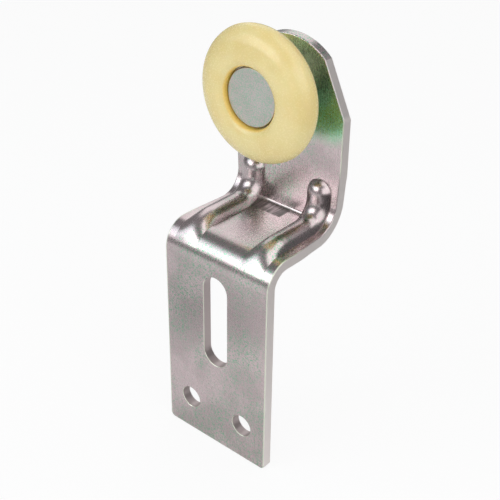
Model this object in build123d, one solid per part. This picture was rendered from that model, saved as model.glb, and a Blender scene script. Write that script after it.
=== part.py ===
from build123d import *
import math
import os

# Wardrobe door roller: a pressed steel hanger bracket that is screwed to the back of a door,
# and a nylon wheel that runs on it in a ball bearing. All sizes are in millimetres.
# X runs across the bracket, Y from the wheel's side of it to the far side, Z up.
# The origin lies midway between the two screw holes, on the face that meets the door.

# Hanger bracket, pressed from one strip
strip_width = 31.75
sheet = 2.4
offset = 25.0
shelf_height = 57.5
axle_height = 89.7
shoulder_below_axle = 5.4
top_corner_above_axle = 7.4
top_corner_from_centre = 9.8
crown_above_axle = 11.2
lower_bend_face_radius = 6.5
upper_bend_face_radius = 6.0
crease_radius = 1.0
bottom_corner_radius = 1.3
shoulder_radius = 1.2
face_edge_radius = 0.3
hole_edge_radius = 0.25
waist_depth = 0.75
waist_length = 22.0

# Stiffening beads, pressed towards the wheel's side through both bends
bead_from_centre = 10.05
bead_width = 6.7
bead_height = 2.4
bead_top_above_shelf = 11.0
bead_foot_step = 0.04
bead_root_in_sheet = 2.3
bead_end_height = 0.1
run_out_start = 10.8
run_out_turn = 62.0
run_out_steps = 10
groove_width = 3.0
groove_edge_radius = 1.1
groove_start = 9.0
groove_run_out_radius = 4.5

# Holes in the lower leg
screw_hole_diameter = 5.8
screw_hole_spacing = 16.8
screw_hole_height = 9.8
slot_width = 7.3
slot_length = 25.0
slot_middle_height = 36.4

# Wheel
wheel_diameter = 31.75
wheel_width = 8.2
wheel_middle_from_face = 14.5
lip_radius = 3.26
lip_edge_radius = 0.2
hub_rim = 0.5

# Axle rivet
head_diameter = 13.5
head_thickness = 1.1
head_from_wheel_middle = 2.6
head_edge_radius = 0.2
shank_diameter = 6.0
tenon_diameter = 5.0
tail_diameter = 8.6
tail_height = 1.5
head_clearance = 0.4
axial_clearance = 0.3
slip_clearance = 0.05

# Ball bearing
ball_count = 8
ball_diameter = 3.0
pitch_diameter = 11.8
bearing_play = 0.02
groove_conformity = 0.52
land_height = 0.5
race_wall = 1.2
race_shoulder = 0.6
cone_length_behind = 3.4
cage_wall = 0.35
cage_clearance = 0.35
pocket_clearance = 0.1
cage_mouth = 0.7
spacer_diameter = 9.4
shield_thickness = 0.5
shield_reach = 0.3
shield_clearance = 0.45

# Places that follow from the sizes
mount_face_y = 0.0
face_y = mount_face_y - sheet
bottom_z = -screw_hole_height
shelf_z = bottom_z + shelf_height
upper_face_y = face_y + offset
upper_back_y = upper_face_y + sheet
axle_z = bottom_z + axle_height
wheel_middle_y = face_y + wheel_middle_from_face
lower_bend_centre = (face_y + lower_bend_face_radius, shelf_z - lower_bend_face_radius)
upper_bend_centre = (upper_face_y - upper_bend_face_radius, shelf_z + upper_bend_face_radius)
shoulder_z = axle_z - shoulder_below_axle
top_corner_z = axle_z + top_corner_above_axle
crown_z = axle_z + crown_above_axle
run_out_y = face_y + run_out_start
nose_z = shelf_z + bead_top_above_shelf - bead_width / 2

# Radii and lengths of the bearing, measured along the axle from the wheel's middle plane
ball_radius = ball_diameter / 2
pitch_radius = pitch_diameter / 2
track_radius = ball_diameter * groove_conformity
inner_track_bottom = pitch_radius - ball_radius - bearing_play
outer_track_bottom = pitch_radius + ball_radius + bearing_play
inner_land_radius = inner_track_bottom + land_height
outer_land_radius = outer_track_bottom - land_height
race_radius = outer_track_bottom + race_wall
race_width = ball_diameter + 2 * race_shoulder
head_front = -head_from_wheel_middle
head_back = head_front + head_thickness
race_front = head_back + axial_clearance
race_back = race_front + race_width
ball_plane = (race_front + race_back) / 2
cone_back = ball_plane + cone_length_behind
spacer_back = upper_face_y - wheel_middle_y
recess_radius = head_diameter / 2 + head_clearance
shield_radius = race_radius + shield_reach
shield_back = race_back + shield_thickness
cage_inner_radius = inner_land_radius + cage_clearance
cage_outer_radius = outer_land_radius - cage_clearance
pocket_radius = ball_radius + pocket_clearance
crown_radius = shield_radius + hub_rim

# The axle's own frame: its local Z runs along the axle, away from the wheel's side
axle_place = Pos(0, wheel_middle_y, axle_z) * Rot(-90, 0, 0)
slack = 5.0


def sheet_run(depth, upper_radius):
    """The strip's side profile as a line in the Y-Z plane, at a depth below its visible face."""
    lower_y, lower_z = lower_bend_centre
    upper_y = upper_face_y - upper_radius
    upper_z = shelf_z + upper_radius
    rise = Line((face_y + depth, bottom_z), (face_y + depth, lower_z))
    lower_bend = CenterArc(lower_bend_centre, lower_bend_face_radius - depth, 180, -90)
    shelf = Line((lower_y, shelf_z - depth), (upper_y, shelf_z - depth))
    upper_bend = CenterArc((upper_y, upper_z), upper_radius + depth, -90, 90)
    hanger = Line((upper_face_y + depth, upper_z), (upper_face_y + depth, crown_z))
    return [rise, lower_bend, shelf, upper_bend, hanger]


def sheet_band(upper_radius):
    """The bent strip as a plain solid before it is cut to its outline, with its upper bend's radius."""
    front = sheet_run(0, upper_radius)
    back = sheet_run(sheet, upper_radius)
    low_end = Line(front[0] @ 0, back[0] @ 0)
    high_end = Line(front[-1] @ 1, back[-1] @ 1)
    profile = Plane.YZ * make_face(Curve() + front + back + [low_end, high_end])
    return extrude(profile, amount=strip_width / 2, both=True)


def front_outline():
    """The strip as seen from the front: a square foot, sloping shoulders and a rounded top."""
    half = strip_width / 2
    foot = Polyline((-half, shelf_z), (-half, bottom_z), (half, bottom_z), (half, shelf_z))
    right_side = Line((half, shelf_z), (half, shoulder_z))
    right_slope = Line(right_side @ 1, (top_corner_from_centre, top_corner_z))
    crown = ThreePointArc(right_slope @ 1, (0, crown_z), (-top_corner_from_centre, top_corner_z))
    left_slope = Line(crown @ 1, (-half, shoulder_z))
    left_side = Line(left_slope @ 1, (-half, shelf_z))
    outline = make_face(Curve() + [foot, right_side, right_slope, crown, left_slope, left_side])
    feet = outline.vertices().group_by(Axis.Y)[0]
    outline = fillet(feet, bottom_corner_radius)
    shoulders = [v for v in outline.vertices() if abs(v.Y - shoulder_z) < 0.01]
    outline = fillet(shoulders, shoulder_radius)
    return outline


def waist_cutters():
    """Two shallow round cutters that draw the strip's edges in at its upper bend."""
    radius = (waist_length ** 2 / 4 + waist_depth ** 2) / (2 * waist_depth)
    middle = upper_bend_face_radius * math.sin(math.radians(45))
    bend_y = upper_bend_centre[0] + middle
    bend_z = upper_bend_centre[1] - middle
    cutter = Rot(45, 0, 0) * Cylinder(radius, 8 * sheet)
    reach = strip_width / 2 - waist_depth + radius
    return [Pos(side * reach, bend_y, bend_z) * cutter for side in (-1, 1)]


def leg_holes():
    """Tools for the two screw holes and the upright slot of the lower leg."""
    along_y = Pos(0, face_y + sheet / 2, 0) * Rot(90, 0, 0)
    hole = Cylinder(screw_hole_diameter / 2, sheet + slack)
    slot = extrude(SlotOverall(slot_length, slot_width, rotation=90), amount=(sheet + slack) / 2, both=True)
    holes = [along_y * Pos(side * screw_hole_spacing / 2, 0, 0) * hole for side in (-1, 1)]
    return holes + [along_y * Pos(0, bottom_z + slot_middle_height, 0) * slot]


def bead_section(height):
    """A bead's cross-section: an arch above the strip, on a block that roots it in the sheet."""
    half = bead_width / 2
    arch = ThreePointArc((-half, bead_foot_step), (0, height), (half, bead_foot_step))
    block = Polyline((half, bead_foot_step), (half, -bead_root_in_sheet),
                     (-half, -bead_root_in_sheet), (-half, bead_foot_step))
    return make_face(Curve() + [arch, block])


def run_out_place(distance):
    """The plane across a bead at a distance down its run-out, along the shelf and round the lower bend."""
    lower_y, lower_z = lower_bend_centre
    on_bend = distance - (run_out_y - lower_y)
    if on_bend <= 0:
        return Plane((0, run_out_y - distance, shelf_z), x_dir=(1, 0, 0), z_dir=(0, -1, 0))
    turn = on_bend / lower_bend_face_radius
    reach_y = lower_y - lower_bend_face_radius * math.sin(turn)
    reach_z = lower_z + lower_bend_face_radius * math.cos(turn)
    return Plane((0, reach_y, reach_z), x_dir=(1, 0, 0), z_dir=(0, -math.cos(turn), -math.sin(turn)))


def bead_run_out():
    """The bead's lower end: its feet run on side by side while its height dies away."""
    length = run_out_y - lower_bend_centre[0] + lower_bend_face_radius * math.radians(run_out_turn)
    sections = []
    for step in range(run_out_steps + 1):
        share = step / run_out_steps
        left = (1 + math.cos(math.pi * share)) / 2
        height = bead_end_height + (bead_height - bead_end_height) * left
        sections.append(run_out_place(length * share) * bead_section(height))
    return loft(sections)


def bead():
    """One raised bead at the bracket's middle, with a round nose at its top."""
    upper_y, upper_z = upper_bend_centre
    along = Line((run_out_y, shelf_z), (upper_y, shelf_z))
    bend = CenterArc(upper_bend_centre, upper_bend_face_radius, -90, 90)
    rise = Line((upper_face_y, upper_z), (upper_face_y, nose_z))
    path = Plane.YZ * (Curve() + [along, bend, rise])
    run = sweep(run_out_place(0) * bead_section(bead_height), path=path)
    one_side = Pos(bead_width / 2, 0) * Rectangle(bead_width, 4 * bead_height)
    half_section = bead_section(bead_height) & one_side
    nose_place = Plane((0, upper_face_y, nose_z), x_dir=(1, 0, 0), z_dir=(0, 0, -1))
    nose = nose_place * revolve(half_section, Axis.Y)
    return bead_run_out() + run + nose


def groove():
    """The groove that the press leaves behind one bead, as a cutter that is open to the back."""
    start_y = face_y + groove_start
    low_y = start_y - groove_run_out_radius
    low_z = shelf_z - groove_run_out_radius
    top_z = shelf_z + bead_top_above_shelf - sheet
    upper_y, upper_z = upper_bend_centre
    lines = [
        Line((low_y, low_z - groove_run_out_radius), (low_y, low_z)),
        CenterArc((start_y, low_z), groove_run_out_radius, 180, -90),
        Line((start_y, shelf_z), (upper_y, shelf_z)),
        CenterArc(upper_bend_centre, upper_bend_face_radius, -90, 90),
        Line((upper_face_y, upper_z), (upper_face_y, top_z)),
    ]
    behind = Polyline(lines[-1] @ 1, (upper_back_y + slack, top_z),
                      (upper_back_y + slack, low_z - groove_run_out_radius), lines[0] @ 0)
    side = make_face(Curve() + lines + [behind])
    solid = extrude(Plane.YZ * side, amount=groove_width / 2, both=True)
    return fillet(crest_edges(solid, lines), groove_edge_radius)


def crest_edges(solid, lines):
    """The edges that bound the faces of a solid that its profile's lines made."""
    crest_faces = []
    for line in lines:
        middle = line @ 0.5
        touching = [f for f in solid.faces() if f.distance_to(Vector(0, middle.X, middle.Y)) < 0.001]
        crest_faces += touching
    edges = [edge for face in crest_faces for edge in face.edges()]
    return [edge for edge in edges if sum(edge.is_same(other) for other in edges) == 1]


def axle_ring(outline):
    """A turned piece: a closed outline of (radius, place along the axle), spun about the axle."""
    return axle_place * revolve(Plane.XZ * outline, Axis.Z)


def box_outline(inner, outer, front, back):
    """A rectangle between two radii and two places along the axle."""
    return make_face(Polyline((inner, front), (outer, front), (outer, back), (inner, back), close=True))


def depth_in_sheet(point):
    """How far a point lies below the strip's visible side."""
    lower_y, lower_z = lower_bend_centre
    upper_y, upper_z = upper_bend_centre
    if point.Z > upper_z:
        return point.Y - upper_face_y
    if point.Y > upper_y:
        return math.hypot(point.Y - upper_y, point.Z - upper_z) - upper_bend_face_radius
    if point.Y > lower_y and point.Z > lower_z:
        return shelf_z - point.Z
    if point.Z > lower_z:
        return lower_bend_face_radius - math.hypot(point.Y - lower_y, point.Z - lower_z)
    return point.Y - face_y


def border_edges(solid):
    """The edges round the strip's visible side, which the press rolls over."""
    visible = [face for face in solid.faces() if abs(depth_in_sheet(face.position_at(0.5, 0.5))) < 0.001]
    edges = [edge for face in visible for edge in face.edges()]
    return [edge for edge in edges if sum(edge.is_same(other) for other in edges) == 1]


def crease_space():
    """The space between the beads' middles round the upper bend, where the strip is creased sharply."""
    reach = upper_bend_face_radius + sheet
    return Pos(0, upper_face_y, shelf_z) * Box(2 * bead_from_centre, 2 * reach, 2 * reach)


def hanger_bracket():
    """The pressed strip, with its drawn-in waist, its crease between the beads, and its holes."""
    bracket = sheet_band(upper_bend_face_radius)
    blank = Plane.XZ * front_outline()
    bracket = bracket & extrude(blank, amount=offset + slack, both=True)
    for cutter in waist_cutters():
        bracket = bracket - cutter
    bracket = fillet(border_edges(bracket), face_edge_radius)
    bracket = bracket - crease_space() + (sheet_band(crease_radius) & crease_space())
    bore = Pos(0, upper_face_y + sheet / 2, axle_z) * Rot(90, 0, 0)
    bracket = bracket - bore * Cylinder(tenon_diameter / 2 + slip_clearance, sheet + slack)
    for cutter in leg_holes():
        bracket = bracket - cutter
    rims = [edge for face in bracket.faces() for edge in face.inner_wires().edges()]
    rims = [rim for rim in rims if abs(rim.center().Y - face_y) < 0.001]
    bracket = fillet(rims, hole_edge_radius)
    for side in (-1, 1):
        bracket = bracket + Pos(side * bead_from_centre, 0, 0) * bead()
        bracket = bracket - Pos(side * bead_from_centre, 0, 0) * groove()
    return bracket


def axle_rivet():
    """The shouldered rivet: a flat head, a shank for the bearing, a tenon and a domed tail."""
    head = head_diameter / 2
    shank = shank_diameter / 2
    tenon = tenon_diameter / 2
    tail = tail_diameter / 2
    tail_front = upper_back_y - wheel_middle_y
    dome_radius = (tail ** 2 + tail_height ** 2) / (2 * tail_height)
    dome_angle = math.degrees(math.asin(tail / dome_radius))
    dome = CenterArc((0, tail_front + tail_height - dome_radius), dome_radius, 90, -dome_angle)
    run = Polyline(dome @ 0, (0, head_front), (head, head_front), (head, head_back), (shank, head_back),
                   (shank, spacer_back), (tenon, spacer_back), (tenon, tail_front), dome @ 1)
    outline = make_face(Curve() + [run, dome])
    rim = [v for v in outline.vertices() if abs(v.X - head) < 0.001 and abs(v.Y - head_front) < 0.001]
    return axle_ring(fillet(rim, head_edge_radius))


def cone(front, back):
    """Half of the inner race: a ring with a quarter of the ball track at one end."""
    bore = shank_diameter / 2 + slip_clearance
    track_centre = inner_track_bottom + track_radius
    ring = box_outline(bore, inner_land_radius, front, back)
    track = Pos(track_centre, ball_plane) * Circle(track_radius)
    return axle_ring(ring - track)


def outer_race():
    ring = box_outline(outer_land_radius, race_radius, race_front, race_back)
    track = Pos(outer_track_bottom - track_radius, ball_plane) * Circle(track_radius)
    return axle_ring(ring - track)


def nylon_wheel():
    """The wheel moulded round the outer race: a round rim, a dished face and the rivet's recess."""
    rim = wheel_diameter / 2
    half = wheel_width / 2
    dish_angle = math.degrees(math.asin((crown_radius - recess_radius) / lip_radius))
    tread = EllipticalCenterArc((crown_radius, 0), rim - crown_radius, half, -90, arc_size=180)
    dish = CenterArc((crown_radius, lip_radius - half), lip_radius, -90, -dish_angle)
    bore = Polyline(dish @ 1, (recess_radius, race_front), (race_radius, race_front),
                    (race_radius, race_back), (shield_radius, race_back), (shield_radius, half),
                    (crown_radius, half))
    outline = make_face(Curve() + [tread, dish, bore])
    lip_edge = [v for v in outline.vertices() if (v.center() - dish @ 1).length < 0.01]
    return axle_ring(fillet(lip_edge, lip_edge_radius))


def ball_cage():
    back = ball_plane + pocket_radius + cage_wall
    front = ball_plane - cage_mouth
    ring = axle_ring(box_outline(cage_inner_radius, cage_outer_radius, front, back))
    for place in ball_places():
        ring = ring - place * Sphere(pocket_radius)
    return ring


def ball_places():
    step = 360 / ball_count
    turns = [Rot(0, 0, step * (number + 0.5)) for number in range(ball_count)]
    return [axle_place * turn * Pos(pitch_radius, 0, ball_plane) for turn in turns]


def spacer_sleeve():
    bore = shank_diameter / 2 + slip_clearance
    return axle_ring(box_outline(bore, spacer_diameter / 2, cone_back, spacer_back))


def rear_shield():
    inner = inner_land_radius + shield_clearance
    return axle_ring(box_outline(inner, shield_radius, race_back, shield_back))


os.makedirs("parts", exist_ok=True)
pieces = {
    "hanger_bracket": hanger_bracket(),
    "axle_rivet": axle_rivet(),
    "front_cone": cone(head_back, ball_plane),
    "rear_cone": cone(ball_plane, cone_back),
    "spacer_sleeve": spacer_sleeve(),
    "nylon_wheel": nylon_wheel(),
    "outer_race": outer_race(),
    "rear_shield": rear_shield(),
    "ball_cage": ball_cage(),
}
for number, place in enumerate(ball_places(), start=1):
    pieces[f"ball_{number}"] = place * Sphere(ball_radius)
for name, piece in pieces.items():
    export_step(piece, f"parts/{name}.step")
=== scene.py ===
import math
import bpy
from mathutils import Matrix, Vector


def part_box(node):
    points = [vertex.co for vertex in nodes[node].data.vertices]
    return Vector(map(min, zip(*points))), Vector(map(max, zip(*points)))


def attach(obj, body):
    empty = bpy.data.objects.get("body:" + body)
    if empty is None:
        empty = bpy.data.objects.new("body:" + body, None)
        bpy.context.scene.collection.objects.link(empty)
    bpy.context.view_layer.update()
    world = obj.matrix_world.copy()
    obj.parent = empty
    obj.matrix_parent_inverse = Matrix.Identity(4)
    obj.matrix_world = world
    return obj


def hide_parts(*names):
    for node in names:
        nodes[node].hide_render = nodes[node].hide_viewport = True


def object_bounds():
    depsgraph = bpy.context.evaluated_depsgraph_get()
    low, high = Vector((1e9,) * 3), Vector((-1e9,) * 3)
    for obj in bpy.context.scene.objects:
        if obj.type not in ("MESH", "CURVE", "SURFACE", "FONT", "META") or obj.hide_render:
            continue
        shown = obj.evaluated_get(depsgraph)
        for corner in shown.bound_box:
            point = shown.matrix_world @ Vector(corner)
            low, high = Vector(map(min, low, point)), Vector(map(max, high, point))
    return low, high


bl_info = {
    "name": "Wardrobe door roller",
    "version": (1, 0, 0),
    "blender": (4, 5, 0),
    "location": "3D View > Sidebar > Door roller",
    "description": "Finishes the wardrobe door roller, models its moulded wheel and sets up a photo studio",
    "category": "Object",
}

import bpy
from bpy.props import FloatProperty, FloatVectorProperty, IntProperty, PointerProperty
from mathutils import Matrix, Vector

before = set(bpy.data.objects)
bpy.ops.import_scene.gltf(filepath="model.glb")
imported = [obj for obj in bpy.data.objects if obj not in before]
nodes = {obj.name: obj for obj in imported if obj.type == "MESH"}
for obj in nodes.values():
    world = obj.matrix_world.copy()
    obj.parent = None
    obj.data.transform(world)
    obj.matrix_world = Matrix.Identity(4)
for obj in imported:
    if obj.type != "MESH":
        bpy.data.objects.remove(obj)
cad_low, cad_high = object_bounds()
wheel_low, wheel_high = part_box("nylon_wheel")
wheel_middle = (wheel_low + wheel_high) / 2

# Metres in one millimetre
MM = 0.001


def node_radius(name):
    """The outer radius of a turned CAD node, whose axis runs along Y."""
    low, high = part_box(name)
    return (high.x - low.x) / 2


def along_axle(name):
    """Where a CAD node starts and ends along the axle, from the wheel's middle plane."""
    low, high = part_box(name)
    return low.y - wheel_middle.y, high.y - wheel_middle.y


class SteelSettings(bpy.types.PropertyGroup):
    sheet_colour: FloatVectorProperty(
        name="Plated sheet", description="Main colour of the plated bracket",
        default=(0.67, 0.55, 0.565), subtype="COLOR", min=0, max=1)
    sheet_tint: FloatVectorProperty(
        name="Plating tint", description="Colour that the plating drifts to in specks and patches",
        default=(0.27, 0.50, 0.35), subtype="COLOR", min=0, max=1)
    # Painted reflection of the wheel's shaded back in the upper leg, tinted green
    painted_reflection_colour: FloatVectorProperty(
        name="Green film", description="Colour of the thin film that the plating leaves behind the wheel",
        default=(0.36, 0.78, 0.50), subtype="COLOR", min=0, max=1)
    # Painted reflection of the wheel's shaded back: the lighter colour it reaches at the top
    painted_reflection_top_colour: FloatVectorProperty(
        name="Green film, top", description="Colour that the green film reaches at the bracket's top",
        default=(0.90, 1.0, 0.70), subtype="COLOR", min=0, max=1)
    # Painted highlight along the strip's borders and on the rims of the slot and screw holes
    edge_highlight_colour: FloatVectorProperty(
        name="Rolled border", description="Colour of the plating where the strip's borders are rubbed",
        default=(0.86, 0.90, 0.76), subtype="COLOR", min=0, max=1)
    # Painted dark reflection on the shelf before the crease, broken into strokes
    dark_reflection_colour: FloatVectorProperty(
        name="Die mark", description="Colour of the strokes that the bending die left on the shelf",
        default=(0.21, 0.195, 0.19), subtype="COLOR", min=0, max=1)
    edge_colour: FloatVectorProperty(
        name="Sheared edge", description="Colour of the strip's cut edges",
        default=(0.88, 0.83, 0.81), subtype="COLOR", min=0, max=1)
    wall_colour: FloatVectorProperty(
        name="Punched wall", description="Colour of the walls of the slot and the screw holes",
        default=(0.56, 0.485, 0.48), subtype="COLOR", min=0, max=1)
    sheet_roughness: FloatProperty(
        name="Sheet roughness", description="How soft the reflections in the bracket are",
        default=0.26, min=0, max=1, subtype="FACTOR")
    rivet_colour: FloatVectorProperty(
        name="Rivet", description="Colour of the rivet, the sleeve and the shield",
        default=(0.66, 0.555, 0.56), subtype="COLOR", min=0, max=1)
    rivet_tint: FloatVectorProperty(
        name="Rivet tint", description="Colour that the rivet's plating drifts to in specks",
        default=(0.41, 0.56, 0.45), subtype="COLOR", min=0, max=1)
    bearing_colour: FloatVectorProperty(
        name="Bearing steel", description="Colour of the ground races and balls",
        default=(0.62, 0.62, 0.63), subtype="COLOR", min=0, max=1)


class WheelSettings(bpy.types.PropertyGroup):
    nylon_colour: FloatVectorProperty(
        name="Nylon", description="Colour of the moulded wheel",
        default=(0.865, 0.735, 0.36), subtype="COLOR", min=0, max=1)
    # Painted shade in the wheel's recess, warm where light glows through the nylon
    recess_shade_colour: FloatVectorProperty(
        name="Recess wall", description="Deeper colour of the nylon in the shade of its recess",
        default=(0.92, 0.62, 0.14), subtype="COLOR", min=0, max=1)
    nylon_glow: FloatProperty(
        name="Glow depth", description="How far light travels inside the nylon",
        default=1.2 * MM, min=0, unit="LENGTH")
    hub_rim: FloatProperty(
        name="Hub rim", description="Flat rim between the shield's pocket and the tread",
        default=0.5 * MM, min=0, unit="LENGTH")
    head_gap: FloatProperty(
        name="Gap round the head", description="Clearance between the rivet's head and its recess",
        default=0.4 * MM, min=0, unit="LENGTH")
    lip_radius: FloatProperty(
        name="Lip radius", description="Radius of the dished face where it rolls into the recess",
        default=3.26 * MM, min=0, unit="LENGTH")
    parting_height: FloatProperty(
        name="Parting line height", description="How far the mould's parting line stands up from the tread",
        default=0.05 * MM, min=0, unit="LENGTH")
    parting_width: FloatProperty(
        name="Parting line width", description="Width of the mould's parting line",
        default=0.22 * MM, min=0, unit="LENGTH")
    steps_round: IntProperty(
        name="Steps round", description="Faces round the wheel", default=144, min=24)


class StageSettings(bpy.types.PropertyGroup):
    azimuth: FloatProperty(
        name="Camera azimuth", description="Turn of the camera round the part from its front",
        default=math.radians(40.72), subtype="ANGLE")
    elevation: FloatProperty(
        name="Camera elevation", description="Height of the camera above the horizon",
        default=math.radians(30.94), subtype="ANGLE")
    roll: FloatProperty(
        name="Camera roll", description="Turn of the picture about its own centre",
        default=math.radians(0.74), subtype="ANGLE")
    distance: FloatProperty(
        name="Camera distance", description="From the camera to the point that it looks at",
        default=242.3 * MM, unit="LENGTH")
    lens: FloatProperty(
        name="Lens", description="Focal length of the camera, for a 36 mm sensor",
        default=74.35, subtype="DISTANCE_CAMERA", unit="CAMERA")
    floor_colour: FloatVectorProperty(
        name="Floor", description="Colour of the floor",
        default=(0.9, 0.9, 0.9), subtype="COLOR", min=0, max=1)
    card_colour: FloatVectorProperty(
        name="Dark cards", description="Colour of the cards on the floor, which only reflections show",
        default=(0.03, 0.03, 0.03), subtype="COLOR", min=0, max=1)
    room_colour: FloatVectorProperty(
        name="Room", description="Colour of the room that lights the part from all sides",
        default=(0.97, 0.98, 1.0), subtype="COLOR", min=0, max=1)
    wall_colour: FloatVectorProperty(
        name="Grey wall", description="Colour of the room's wall at the back right",
        default=(0.5, 0.51, 0.52), subtype="COLOR", min=0, max=1)
    room_strength: FloatProperty(
        name="Room light", description="How bright the room is to the part",
        default=0.24, min=0)
    key_power: FloatProperty(
        name="Key light", description="Power of the soft light at the front left",
        default=0.72, min=0, unit="POWER")
    fill_power: FloatProperty(
        name="Fill light", description="Power of the soft light at the right",
        default=1.3, min=0, unit="POWER")
    top_power: FloatProperty(
        name="Top light", description="Power of the soft light overhead",
        default=1.4, min=0, unit="POWER")
    window_power: FloatProperty(
        name="Window light", description="Power of the weaker, cooler light at the far left",
        default=0.28, min=0, unit="POWER")
    window_colour: FloatVectorProperty(
        name="Window colour", description="Colour of the cooler light at the far left",
        default=(0.82, 0.93, 1.0), subtype="COLOR", min=0, max=1)
    back_power: FloatProperty(
        name="Back light", description="Power of the soft light behind, at the left",
        default=0.6, min=0, unit="POWER")


# Shader building


def mix_shaders(tree, share, first, second, output):
    """Send a mix of two shaders to a tree's output."""
    mix = tree.nodes.new("ShaderNodeMixShader")
    tree.links.new(share, mix.inputs["Fac"])
    tree.links.new(first, mix.inputs[1])
    tree.links.new(second, mix.inputs[2])
    tree.links.new(mix.outputs["Shader"], tree.nodes[output].inputs["Surface"])


def start_finish(name):
    """A new node material, its tree and its surface shader."""
    material = bpy.data.materials.new(name)
    material.use_nodes = True
    tree = material.node_tree
    return material, tree, tree.nodes["Principled BSDF"]


def object_point(tree, stretch=(1, 1, 1)):
    """The surface point in the part's own frame, stretched along its axes."""
    point = tree.nodes.new("ShaderNodeTexCoord")
    mapping = tree.nodes.new("ShaderNodeMapping")
    mapping.inputs["Scale"].default_value = stretch
    tree.links.new(point.outputs["Object"], mapping.inputs["Vector"])
    return mapping.outputs["Vector"]


def grain(tree, point, size, detail=2.0, roughness=0.5):
    """Noise whose blotches are about the given size across, in metres."""
    noise = tree.nodes.new("ShaderNodeTexNoise")
    noise.inputs["Scale"].default_value = 1 / size
    noise.inputs["Detail"].default_value = detail
    noise.inputs["Roughness"].default_value = roughness
    tree.links.new(point, noise.inputs["Vector"])
    return noise.outputs["Fac"]


def remap(tree, value, low, high, to_low=0.0, to_high=1.0):
    """A value carried smoothly from one range to another."""
    node = tree.nodes.new("ShaderNodeMapRange")
    node.interpolation_type = "SMOOTHSTEP"
    node.inputs["From Min"].default_value = low
    node.inputs["From Max"].default_value = high
    node.inputs["To Min"].default_value = to_low
    node.inputs["To Max"].default_value = to_high
    tree.links.new(value, node.inputs["Value"])
    return node.outputs["Result"]


def blend_colours(tree, share, first, second):
    """A mix of two colours, each a colour or a socket."""
    mix = tree.nodes.new("ShaderNodeMix")
    mix.data_type = "RGBA"
    tree.links.new(share, mix.inputs["Factor"])
    for socket, colour in (("A", first), ("B", second)):
        target = [s for s in mix.inputs if s.name == socket and s.type == "RGBA"][0]
        if isinstance(colour, bpy.types.NodeSocket):
            tree.links.new(colour, target)
        else:
            target.default_value = (*colour, 1)
    return [s for s in mix.outputs if s.type == "RGBA"][0]


def calculate(tree, operation, *values):
    """One step of arithmetic on numbers or sockets."""
    node = tree.nodes.new("ShaderNodeMath")
    node.operation = operation
    for number, value in enumerate(values):
        if isinstance(value, bpy.types.NodeSocket):
            tree.links.new(value, node.inputs[number])
        else:
            node.inputs[number].default_value = value
    return node.outputs["Value"]


def overlap(tree, *shares):
    """Where several shares meet: their product."""
    product = shares[0]
    for share in shares[1:]:
        product = calculate(tree, "MULTIPLY", product, share)
    return product


def raise_surface(tree, height, distance, under=None):
    """A bump that stands up by a distance where the height is 1, on top of another bump if given."""
    bump = tree.nodes.new("ShaderNodeBump")
    bump.inputs["Distance"].default_value = distance
    tree.links.new(height, bump.inputs["Height"])
    if under is not None:
        tree.links.new(under, bump.inputs["Normal"])
    return bump.outputs["Normal"]


def along_axis(tree, vector, axis):
    """One coordinate of a vector socket."""
    parts = tree.nodes.new("ShaderNodeSeparateXYZ")
    tree.links.new(vector, parts.inputs["Vector"])
    return parts.outputs[axis]


def between(tree, value, low, high, soft):
    """1 between two values, fading to 0 over a soft width inside each."""
    rising = remap(tree, value, low, low + soft)
    falling = remap(tree, value, high - soft, high, 1.0, 0.0)
    return overlap(tree, rising, falling)


def facing_along(tree, axis):
    """How far a surface faces along an axis, from -1 to 1."""
    return along_axis(tree, tree.nodes.new("ShaderNodeTexCoord").outputs["Normal"], axis)


def facing_either_way(tree, axis):
    """How far a surface faces along an axis or against it, from 0 to 1."""
    return calculate(tree, "ABSOLUTE", facing_along(tree, axis))


def sideways_place(tree, point):
    """The distance from the strip's middle line, to either side."""
    return calculate(tree, "ABSOLUTE", along_axis(tree, point, "X"))


# Places on the bracket

# A place just past the beads' outer sides, from the middle line
past_beads = 13.7 * MM
# A height above the beads' round noses
above_noses = 64 * MM
# Height up to which the walls of the slot and the screw holes have their own colour
walls_top = 37 * MM
# The field on the shelf where a dark reflection is painted: its limits along each axis and how softly it
# ends
dark_reflection_field = {
    "X": (-7 * MM, 2.4 * MM, 0.5 * MM),
    "Y": (17.6 * MM, 22.6 * MM, 0.5 * MM),
    "Z": (46 * MM, 48.5 * MM, 0.2 * MM),
}


def sheared_edge_share(tree, point):
    """The strip's sheared edges: they face the sides, past the beads or above their noses."""
    facing_side = remap(tree, facing_either_way(tree, "X"), 0.55, 0.9)
    at_sides = remap(tree, sideways_place(tree, point), past_beads, past_beads + 0.3 * MM)
    at_top = remap(tree, along_axis(tree, point, "Z"), above_noses, above_noses + 1 * MM)
    return overlap(tree, facing_side, calculate(tree, "MAXIMUM", at_sides, at_top))


def border_highlight_share(tree, point):
    """A painted highlight: a thin lighter line along the strip's straight borders, at either side."""
    low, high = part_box("hanger_bracket")
    border = (high.x - low.x) / 2
    return remap(tree, sideways_place(tree, point), border - 0.5 * MM, border - 0.25 * MM, 0.0, 0.9)


def punched_shares(tree, point):
    """The walls of the slot and the screw holes, and their rolled rims, which take a painted highlight."""
    inside_edges = remap(tree, sideways_place(tree, point), past_beads - 0.3 * MM, past_beads, 1.0, 0.0)
    on_leg = remap(tree, along_axis(tree, point, "Z"), walls_top, walls_top + 1 * MM, 1.0, 0.0)
    punched = overlap(tree, inside_edges, on_leg)
    flatness = facing_either_way(tree, "Y")
    wall = overlap(tree, punched, remap(tree, flatness, 0.3, 0.6, 1.0, 0.0))
    # The rims take the painted edge highlight
    rim = overlap(tree, punched, between(tree, flatness, 0.3, 0.97, 0.2))
    return wall, rim


def dark_reflection_share(tree, point):
    """A painted dark reflection on the shelf: a small dull field of strokes along Y, before the crease."""
    field = [between(tree, along_axis(tree, point, axis), *limits) for axis, limits in dark_reflection_field.items()]
    strokes = grain(tree, object_point(tree, (1, 0.06, 1)), 0.45 * MM, detail=2)
    return overlap(tree, *field, remap(tree, strokes, 0.35, 0.6, 0.45, 1.0))


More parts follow.
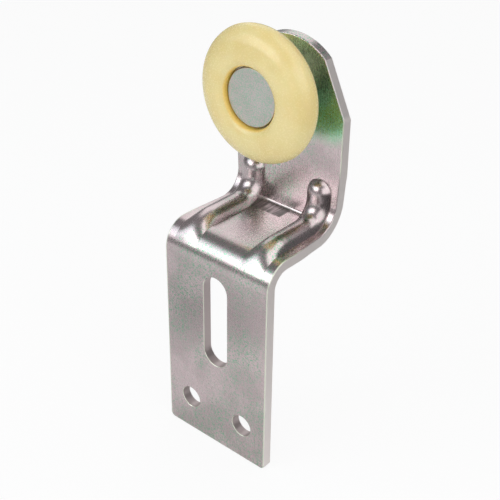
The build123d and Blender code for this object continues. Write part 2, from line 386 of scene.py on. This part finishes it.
def painted_reflection_share(tree, height, unevenness):
    """Where the painted reflection of the wheel's shaded back lies, in green: on the front of the upper
    leg, above an uneven edge.
    """
    facing_front = remap(tree, facing_along(tree, "Y"), -0.99, -0.9, 1.0, 0.0)
    uneven_height = calculate(tree, "MULTIPLY_ADD", unevenness, 8 * MM, height)
    return overlap(tree, remap(tree, uneven_height, 70 * MM, 77 * MM, 0.0, 0.9), facing_front)


# Finishes


def sheet_colours(tree, point, speckle, steel):
    """The plating's colour: darker patches, specks of tint, fine speckles, and the painted green reflection
    of the wheel's shaded back.
    """
    patches = grain(tree, point, 13 * MM, detail=2)
    tint_places = grain(tree, object_point(tree, (1.3, 1, 0.8)), 16 * MM, detail=3)
    specks = grain(tree, point, 0.45 * MM, detail=4, roughness=0.75)
    tint = overlap(tree, remap(tree, specks, 0.5, 0.58), remap(tree, tint_places, 0.4, 0.6, 0.2, 1.0))
    dark = [channel * 0.7 for channel in steel.sheet_colour]
    colour = blend_colours(tree, remap(tree, patches, 0.42, 0.6, 0.0, 0.55), steel.sheet_colour, dark)
    colour = blend_colours(tree, tint, colour, steel.sheet_tint)
    colour = blend_colours(tree, remap(tree, speckle, 0.5, 0.7, 0.0, 0.4), colour, dark)
    # Painted reflection of the wheel's shaded back on the upper leg, green, lighter towards the top
    height = along_axis(tree, point, "Z")
    towards_top = remap(tree, height, 72 * MM, 88 * MM)
    painted_reflection = blend_colours(tree, towards_top, steel.painted_reflection_colour, steel.painted_reflection_top_colour)
    return blend_colours(tree, painted_reflection_share(tree, height, tint_places), colour, painted_reflection)


def plated_sheet(steel):
    """Bright zinc plating on rolled sheet, with fine rolling lines, painted highlights along its borders
    and dull cut edges.
    """
    material, tree, surface = start_finish("plated_sheet")
    point = object_point(tree)
    speckle = grain(tree, point, 0.5 * MM, detail=3, roughness=0.7)
    rolling = grain(tree, object_point(tree, (1, 0.02, 0.02)), 0.35 * MM, detail=3)
    waves = grain(tree, point, 14 * MM, detail=1)
    colour = sheet_colours(tree, point, speckle, steel)
    line_roughness = 0.08
    smoothest = steel.sheet_roughness - line_roughness
    roughness = calculate(tree, "MULTIPLY_ADD", rolling, line_roughness, smoothest)
    roughness = calculate(tree, "MULTIPLY_ADD", speckle, 0.1, roughness)
    wall, rim = punched_shares(tree, point)
    # Each worked place, with the painted highlights and the painted dark reflection among them, the colour
    # it has and how much rougher than the sheet it is
    worked_and_painted_places = (
        (dark_reflection_share(tree, point), steel.dark_reflection_colour, 0.2),
        (border_highlight_share(tree, point), steel.edge_highlight_colour, 0.15),
        (sheared_edge_share(tree, point), steel.edge_colour, 0.34),
        (wall, steel.wall_colour, 0.2),
        (rim, steel.edge_highlight_colour, 0.1),
    )
    for share, shade, rougher in worked_and_painted_places:
        colour = blend_colours(tree, share, colour, shade)
        roughness = calculate(tree, "MULTIPLY_ADD", share, rougher, roughness)
    tree.links.new(colour, surface.inputs["Base Color"])
    tree.links.new(roughness, surface.inputs["Roughness"])
    surface.inputs["Metallic"].default_value = 1.0
    normal = raise_surface(tree, waves, 0.04 * MM)
    normal = raise_surface(tree, rolling, 0.003 * MM, under=normal)
    normal = raise_surface(tree, speckle, 0.006 * MM, under=normal)
    tree.links.new(normal, surface.inputs["Normal"])
    return material


def rivet_steel(steel):
    """Tumbled, lightly plated steel of the rivet, the sleeve and the shield."""
    material, tree, surface = start_finish("rivet_steel")
    point = object_point(tree)
    speckle = grain(tree, point, 0.6 * MM, detail=4, roughness=0.7)
    specks = grain(tree, point, 0.3 * MM, detail=3, roughness=0.8)
    patches = grain(tree, point, 3 * MM, detail=3)
    colour = blend_colours(tree, remap(tree, specks, 0.42, 0.58), steel.rivet_colour, steel.rivet_tint)
    tree.links.new(colour, surface.inputs["Base Color"])
    surface.inputs["Metallic"].default_value = 1.0
    tree.links.new(remap(tree, patches, 0.3, 0.7, 0.34, 0.5), surface.inputs["Roughness"])
    normal = raise_surface(tree, patches, 0.02 * MM)
    normal = raise_surface(tree, speckle, 0.012 * MM, under=normal)
    tree.links.new(normal, surface.inputs["Normal"])
    return material


def bearing_steel(steel):
    """Ground bearing steel: bright, with fine lines round the axle and a trace of grease."""
    material, tree, surface = start_finish("bearing_steel")
    grease = grain(tree, object_point(tree), 1.2 * MM, detail=3)
    lines = grain(tree, object_point(tree, (0.05, 1, 0.05)), 0.1 * MM)
    shade = [channel * 0.8 for channel in steel.bearing_colour]
    colour = blend_colours(tree, remap(tree, grease, 0.4, 0.7, 0.0, 0.6), steel.bearing_colour, shade)
    tree.links.new(colour, surface.inputs["Base Color"])
    surface.inputs["Metallic"].default_value = 1.0
    tree.links.new(remap(tree, grease, 0.3, 0.7, 0.14, 0.26), surface.inputs["Roughness"])
    tree.links.new(raise_surface(tree, lines, 0.002 * MM), surface.inputs["Normal"])
    return material


def axle_distance(tree, point):
    """The distance from the wheel's axle."""
    offset = tree.nodes.new("ShaderNodeVectorMath")
    offset.operation = "SUBTRACT"
    offset.inputs[1].default_value = wheel_middle
    tree.links.new(point, offset.inputs[0])
    offsets = [along_axis(tree, offset.outputs["Vector"], axis) for axis in "XZ"]
    squares = [calculate(tree, "POWER", length, 2) for length in offsets]
    return calculate(tree, "SQRT", calculate(tree, "ADD", *squares))


def moulded_nylon(wheel):
    """Warm cream nylon with a soft gloss, faint clouding, painted warm shade in its recess and its mould's
    fine texture.
    """
    material, tree, surface = start_finish("moulded_nylon")
    point = object_point(tree)
    clouds = grain(tree, point, 8 * MM, detail=3)
    texture = grain(tree, point, 0.35 * MM, detail=3, roughness=0.6)
    ripples = grain(tree, point, 5 * MM, detail=1)
    cloudy = [channel * share for channel, share in zip(wheel.nylon_colour, (0.95, 0.9, 0.8))]
    colour = blend_colours(tree, remap(tree, clouds, 0.35, 0.7, 0.0, 0.8), wheel.nylon_colour, cloudy)
    # Painted shade on the recess wall, warm where light glows through the nylon
    recess = node_radius("axle_rivet") + wheel.head_gap
    recess_shade = remap(tree, axle_distance(tree, point), recess + 0.05 * MM, recess + 0.6 * MM, 0.9, 0.0)
    colour = blend_colours(tree, recess_shade, colour, wheel.recess_shade_colour)
    tree.links.new(colour, surface.inputs["Base Color"])
    surface.inputs["Subsurface Weight"].default_value = 0.35
    surface.inputs["Subsurface Radius"].default_value = (1.0, 0.7, 0.35)
    surface.inputs["Subsurface Scale"].default_value = wheel.nylon_glow
    surface.inputs["IOR"].default_value = 1.53
    tree.links.new(remap(tree, texture, 0.3, 0.7, 0.2, 0.3), surface.inputs["Roughness"])
    normal = raise_surface(tree, ripples, 0.03 * MM)
    normal = raise_surface(tree, texture, 0.004 * MM, under=normal)
    tree.links.new(normal, surface.inputs["Normal"])
    return material


def paint(piece, material):
    """Give a piece one finish."""
    piece.data.materials.clear()
    piece.data.materials.append(material)


# Modelling


def deselect():
    """Leave nothing selected and no mesh in edit mode."""
    if bpy.context.object and bpy.context.object.mode != "OBJECT":
        bpy.ops.object.mode_set(mode="OBJECT")
    bpy.ops.object.select_all(action="DESELECT")


def arc(centre, radius_across, radius_along, first, last, steps):
    """Points of (radius, along) on part of an ellipse, from one angle to another in degrees."""
    points = []
    for step in range(steps + 1):
        angle = math.radians(first + (last - first) * step / steps)
        across = centre[0] + radius_across * math.cos(angle)
        along = centre[1] + radius_along * math.sin(angle)
        points.append((across, along))
    return points


def turn_profile(name, profile, steps):
    """Draw a closed profile of (radius, along) by extruding a point, and spin it about the wheel's axle."""
    weld_distance = 0.001 * MM
    smooth_angle = math.radians(32)
    deselect()
    start = wheel_middle + Vector((profile[0][0], profile[0][1], 0))
    bpy.ops.mesh.primitive_plane_add(size=MM, location=start)
    piece = bpy.context.object
    piece.name = name
    bpy.ops.object.transform_apply(location=True, rotation=True, scale=True)
    bpy.ops.object.mode_set(mode="EDIT")
    bpy.ops.mesh.select_all(action="SELECT")
    bpy.ops.mesh.merge(type="CENTER")
    for here, there in zip(profile, profile[1:] + profile[:1]):
        step = (there[0] - here[0], there[1] - here[1], 0)
        bpy.ops.mesh.extrude_region_move(TRANSFORM_OT_translate={"value": step})
    bpy.ops.mesh.select_all(action="SELECT")
    bpy.ops.mesh.remove_doubles(threshold=weld_distance)
    bpy.ops.mesh.spin(steps=steps, angle=2 * math.pi, center=wheel_middle, axis=(0, 1, 0))
    bpy.ops.mesh.select_all(action="SELECT")
    bpy.ops.mesh.remove_doubles(threshold=weld_distance)
    bpy.ops.mesh.normals_make_consistent(inside=False)
    bpy.ops.object.mode_set(mode="OBJECT")
    bpy.ops.object.shade_smooth_by_angle(angle=smooth_angle)
    return piece


def wheel_profile(wheel):
    """The wheel's section: tread with a parting line, dished face, recess, race seat and shield pocket."""
    rim = node_radius("nylon_wheel")
    half = (wheel_high.y - wheel_low.y) / 2
    shield = node_radius("rear_shield")
    race = node_radius("outer_race")
    race_front, race_back = along_axle("outer_race")
    recess = node_radius("axle_rivet") + wheel.head_gap
    crown = shield + wheel.hub_rim
    tread_width = rim - wheel.parting_height - crown
    tread_steps = 24
    line_angle = math.degrees(wheel.parting_width / (2 * half))
    line_top = wheel.parting_width / 5
    back_tread = arc((crown, 0), tread_width, half, 90, line_angle, tread_steps)
    front_tread = arc((crown, 0), tread_width, half, -line_angle, -90, tread_steps)
    parting_line = [(rim, line_top), (rim, -line_top)]
    dish_angle = math.degrees(math.asin((crown - recess) / wheel.lip_radius))
    dish_middle = (crown, wheel.lip_radius - half)
    dish_steps = 10
    dish = arc(dish_middle, wheel.lip_radius, wheel.lip_radius, -90, -90 - dish_angle, dish_steps)
    lip_edge = dish.pop()
    rounding = 0.2 * MM
    lip = [(recess + 0.25 * rounding, lip_edge[1] + 0.1 * rounding), (recess, lip_edge[1] + rounding)]
    race_seat = [(recess, race_front), (race, race_front), (race, race_back)]
    shield_pocket = [(shield, race_back), (shield, half)]
    return back_tread + parting_line + front_tread[:-1] + dish + lip + race_seat + shield_pocket


class ROLLER_OT_wheel(bpy.types.Operator):
    """Model the moulded nylon wheel in place of its plain CAD solid"""

    bl_idname = "roller.wheel"
    bl_label = "Moulded wheel"

    def execute(self, context):
        wheel = context.scene.roller_wheel
        piece = turn_profile("wheel_moulding", wheel_profile(wheel), wheel.steps_round)
        paint(piece, moulded_nylon(wheel))
        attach(piece, "wheel")
        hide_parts("nylon_wheel")
        return {"FINISHED"}


class ROLLER_OT_steel(bpy.types.Operator):
    """Finish the bracket, the rivet, the bearing and the shield"""

    bl_idname = "roller.steel"
    bl_label = "Steel finishes"

    def execute(self, context):
        steel = context.scene.roller_steel
        paint(nodes["hanger_bracket"], plated_sheet(steel))
        tumbled = rivet_steel(steel)
        for name in ("axle_rivet", "spacer_sleeve", "rear_shield"):
            paint(nodes[name], tumbled)
        ground = bearing_steel(steel)
        balls_and_cage = [name for name in nodes if name.startswith("ball_")]
        for name in ["front_cone", "rear_cone", "outer_race"] + balls_and_cage:
            paint(nodes[name], ground)
        return {"FINISHED"}


# Studio

# Where each lamp stands: azimuth and elevation in degrees, then distance, width and height in metres
lamp_places = {
    "key": (-20, 28, 0.5, 0.3, 0.24),
    "window": (-47, 31, 0.5, 0.22, 0.26),
    "fill": (64, 24, 0.6, 0.6, 0.5),
    "back": (-139, 36, 0.6, 0.45, 0.45),
    "top": (110, 70, 0.6, 0.58, 0.58),
}
# The round dark cards on the floor: azimuth in degrees, distance from the part and radius
near_card = (80, 400 * MM, 320 * MM)
far_card = (135, 480 * MM, 240 * MM)


def direction(azimuth, elevation):
    """Towards a place round the part: azimuth 0 is its front, 90 degrees its right."""
    level = math.cos(elevation)
    return Vector((math.sin(azimuth) * level, -math.cos(azimuth) * level, math.sin(elevation)))


def aimed_turn(back, roll=0.0):
    """The turn of a camera or lamp that looks against the direction back, level apart from its roll."""
    right = Vector((0, 0, 1)).cross(back).normalized()
    up = back.cross(right)
    rolled_right = right * math.cos(roll) + up * math.sin(roll)
    rolled_up = up * math.cos(roll) - right * math.sin(roll)
    return Matrix((rolled_right, rolled_up, back)).transposed()


def add_softbox(name, azimuth, elevation, distance, width, height, power, colour):
    """A lamp as a lit panel that faces the middle of the part."""
    middle = (cad_low + cad_high) / 2
    back = direction(math.radians(azimuth), math.radians(elevation))
    turn = aimed_turn(back).to_euler()
    bpy.ops.object.light_add(type="AREA", location=middle + back * distance, rotation=turn)
    lamp = bpy.context.object
    lamp.name = name
    lamp.data.shape = "RECTANGLE"
    lamp.data.size = width
    lamp.data.size_y = height
    lamp.data.energy = power
    lamp.data.color = colour


def add_camera(stage):
    """The camera at the photograph's angle, moved a little sideways and up as the picture is framed."""
    look_at = Vector((0, 7.1, 41.0)) * MM
    shift_right = 1.83 * MM
    shift_up = 1.35 * MM
    back = direction(stage.azimuth, stage.elevation)
    turn = aimed_turn(back, stage.roll)
    right, up = turn.col[0], turn.col[1]
    place = look_at + right * shift_right + up * shift_up + back * stage.distance
    bpy.ops.object.camera_add(location=place, rotation=turn.to_euler())
    camera = bpy.context.object
    camera.name = "photo_camera"
    camera.data.sensor_width = 36
    camera.data.lens = stage.lens
    camera.data.clip_start = 0.01
    bpy.context.scene.camera = camera


def round_card(tree, azimuth, distance, radius):
    """1 on a round, soft-edged card that lies on the floor, 0 elsewhere."""
    soft = 25 * MM
    centre = direction(math.radians(azimuth), 0) * distance
    centre.z = cad_low.z
    from_card = tree.nodes.new("ShaderNodeVectorMath")
    from_card.operation = "DISTANCE"
    from_card.inputs[1].default_value = centre
    tree.links.new(object_point(tree), from_card.inputs[0])
    return remap(tree, from_card.outputs["Value"], radius - soft, radius + soft, 1.0, 0.0)


def dark_strip(tree):
    """1 on a soft-edged strip of the floor before the part, towards its left, 0 elsewhere."""
    point = object_point(tree)
    across = between(tree, along_axis(tree, point, "X"), -80 * MM, -15 * MM, 20 * MM)
    along = between(tree, along_axis(tree, point, "Y"), -58 * MM, -30 * MM, 10 * MM)
    return overlap(tree, across, along)


def dark_cards(tree):
    """How dark the cards make each place of the floor."""
    far_darkness = 0.6
    strip_darkness = 0.55
    far = calculate(tree, "MULTIPLY", round_card(tree, *far_card), far_darkness)
    strip = calculate(tree, "MULTIPLY", dark_strip(tree), strip_darkness)
    weaker = calculate(tree, "MAXIMUM", far, strip)
    return calculate(tree, "MAXIMUM", round_card(tree, *near_card), weaker)


def floor_paint(stage):
    """A pale floor, nearly white to the camera, that keeps the part's shadow and shows steel dark cards."""
    material, tree, surface = start_finish("pale_floor")
    whiteness = 0.9
    path = tree.nodes.new("ShaderNodeLightPath")
    card = overlap(tree, dark_cards(tree), path.outputs["Is Glossy Ray"])
    colour = blend_colours(tree, card, stage.floor_colour, stage.card_colour)
    tree.links.new(colour, surface.inputs["Base Color"])
    surface.inputs["Roughness"].default_value = 0.9
    surface.inputs["Specular IOR Level"].default_value = 0.2
    glow = tree.nodes.new("ShaderNodeEmission")
    glow.inputs["Color"].default_value = (1, 1, 1, 1)
    glow_share = calculate(tree, "MULTIPLY", path.outputs["Is Camera Ray"], whiteness)
    mix_shaders(tree, glow_share, surface.outputs["BSDF"], glow.outputs["Emission"], "Material Output")
    return material


def light_world(stage):
    """A white backdrop for the camera, and a pale room with one greyer wall for light and reflections."""
    world = bpy.data.worlds.new("studio")
    bpy.context.scene.world = world
    world.use_nodes = True
    tree = world.node_tree
    wall_azimuth = math.radians(128)
    # How nearly a direction points at the wall's middle where the wall begins, and where it is full
    wall_begins = 0.6
    wall_is_full = 0.85
    towards_wall = tree.nodes.new("ShaderNodeVectorMath")
    towards_wall.operation = "DOT_PRODUCT"
    towards_wall.inputs[1].default_value = direction(wall_azimuth, 0)
    tree.links.new(tree.nodes.new("ShaderNodeTexCoord").outputs["Generated"], towards_wall.inputs[0])
    wall = remap(tree, towards_wall.outputs["Value"], wall_begins, wall_is_full)
    room = tree.nodes["Background"]
    tree.links.new(blend_colours(tree, wall, stage.room_colour, stage.wall_colour), room.inputs["Color"])
    room.inputs["Strength"].default_value = stage.room_strength
    white = tree.nodes.new("ShaderNodeBackground")
    white.inputs["Color"].default_value = (1, 1, 1, 1)
    white.inputs["Strength"].default_value = 1.0
    seen = tree.nodes.new("ShaderNodeLightPath").outputs["Is Camera Ray"]
    mix_shaders(tree, seen, room.outputs["Background"], white.outputs["Background"], "World Output")


class ROLLER_OT_stage(bpy.types.Operator):
    """Set up the pale floor, the soft lights and the camera"""

    bl_idname = "roller.stage"
    bl_label = "Studio"

    def execute(self, context):
        stage = context.scene.roller_stage
        floor_size = 4.0
        gap_under_part = 0.05 * MM
        white = (1, 1, 1)
        deselect()
        bpy.ops.mesh.primitive_plane_add(size=floor_size, location=(0, 0, cad_low.z - gap_under_part))
        floor = context.object
        floor.name = "studio_floor"
        bpy.ops.object.transform_apply(location=True, rotation=True, scale=True)
        paint(floor, floor_paint(stage))
        light_world(stage)
        for name, place in lamp_places.items():
            power = getattr(stage, f"{name}_power")
            colour = stage.window_colour if name == "window" else white
            add_softbox(f"{name}_light", *place, power, colour)
        add_camera(stage)
        context.scene.view_settings.view_transform = "Standard"
        return {"FINISHED"}


class ROLLER_PT_panel(bpy.types.Panel):
    """Lists the roller's steps and settings"""

    bl_idname = "ROLLER_PT_panel"
    bl_label = "Door roller"
    bl_space_type = "VIEW_3D"
    bl_region_type = "UI"
    bl_category = "Door roller"

    def draw(self, context):
        for operator in operators:
            self.layout.operator(operator.bl_idname)
        for name in groups:
            group = getattr(context.scene, name)
            box = self.layout.box()
            for setting in group.__annotations__:
                box.prop(group, setting)


operators = (ROLLER_OT_steel, ROLLER_OT_wheel, ROLLER_OT_stage)
groups = {"roller_steel": SteelSettings, "roller_wheel": WheelSettings, "roller_stage": StageSettings}


def register():
    for item in (*groups.values(), *operators, ROLLER_PT_panel):
        bpy.utils.register_class(item)
    for name, group in groups.items():
        setattr(bpy.types.Scene, name, PointerProperty(type=group))


def unregister():
    for name in groups:
        delattr(bpy.types.Scene, name)
    for item in reversed((*groups.values(), *operators, ROLLER_PT_panel)):
        bpy.utils.unregister_class(item)


def main():
    register()
    bpy.ops.roller.steel()
    bpy.ops.roller.wheel()
    bpy.ops.roller.stage()


if __name__ == "__main__":
    main()
